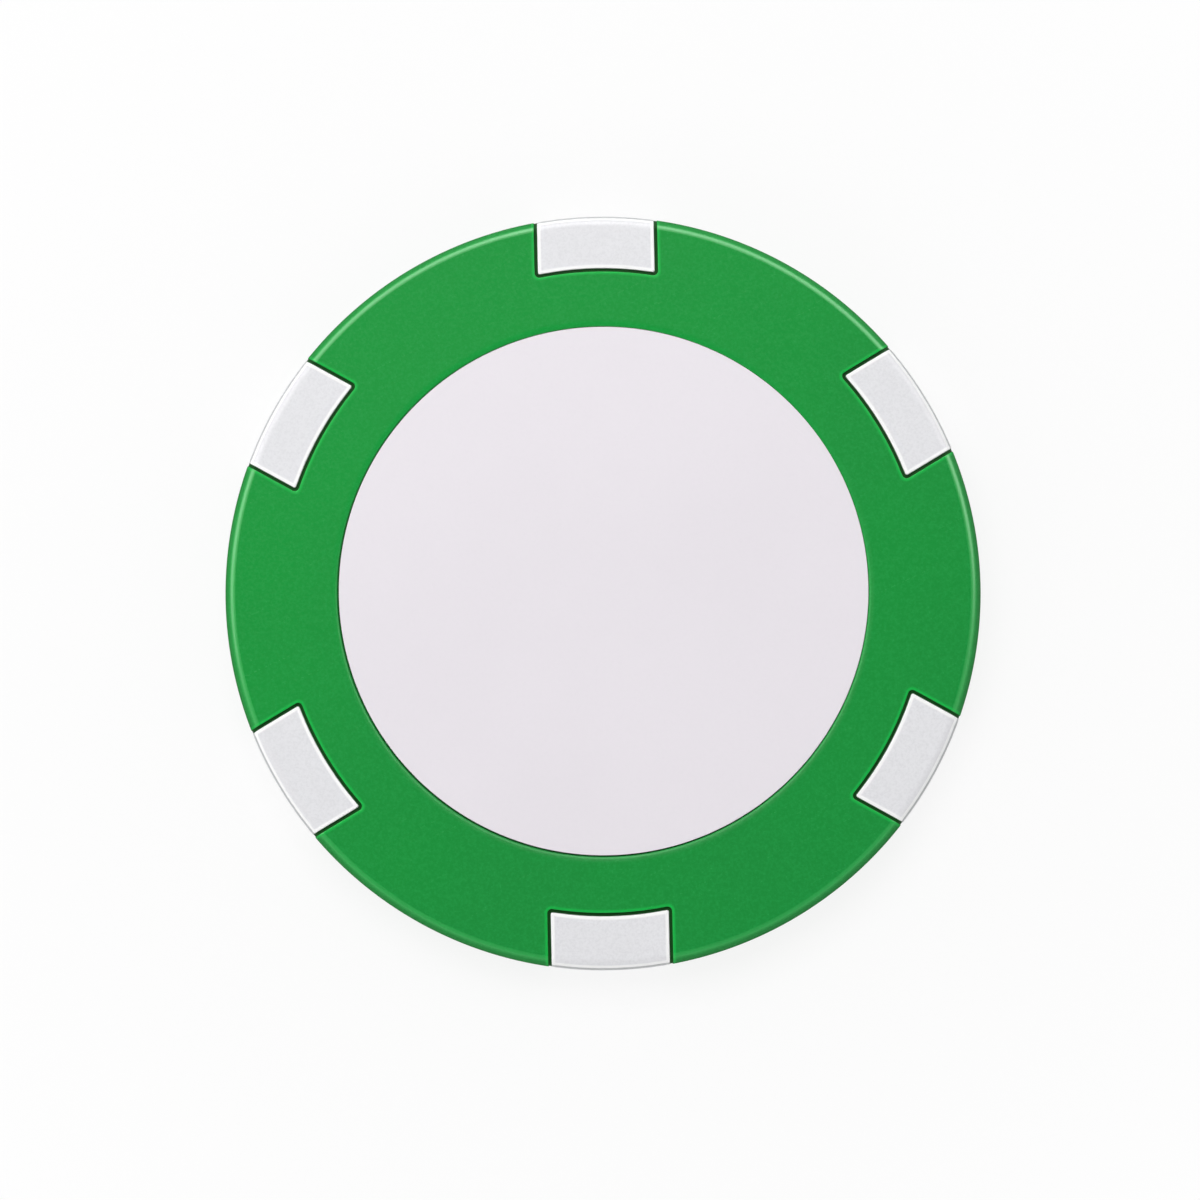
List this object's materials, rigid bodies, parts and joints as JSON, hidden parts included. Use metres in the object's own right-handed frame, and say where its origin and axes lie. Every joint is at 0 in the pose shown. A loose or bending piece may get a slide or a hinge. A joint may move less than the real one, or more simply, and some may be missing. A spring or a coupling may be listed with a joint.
{
  "type": "poker chip ball marker",
  "caption": "Round moulded plastic chip with white edge spots, a steel-weighted core and a blank label recessed in each face, laid on a putting green to mark where a ball lies.",
  "frame": {"origin": "middle of the circle that the chip stands on, on its back face", "axes": "+Z out of the front face, +Y towards the edge spot at the picture's top, +X to the picture's right"},
  "size_m": [0.04, 0.04, 0.0033],
  "materials": {
    "slug_steel": "punched steel disc, dull zinc plate",
    "white_plastic": "satin moulded plastic",
    "green_plastic": "satin moulded plastic, coloured through",
    "label_adhesive": "clear pressure-sensitive adhesive, slightly yellow",
    "label_film": "matt vinyl print film, bare",
    "label_laminate": "clear satin overlaminate"
  },
  "bodies": {
    "root": {"weight_slug": "slug_steel", "white_core": "white_plastic", "green_body": "green_plastic", "front_adhesive": "label_adhesive", "front_label_film": "label_film", "front_label_laminate": "label_laminate", "back_adhesive": "label_adhesive", "back_label_film": "label_film", "back_label_laminate": "label_laminate"}
  },
  "joints": []
}
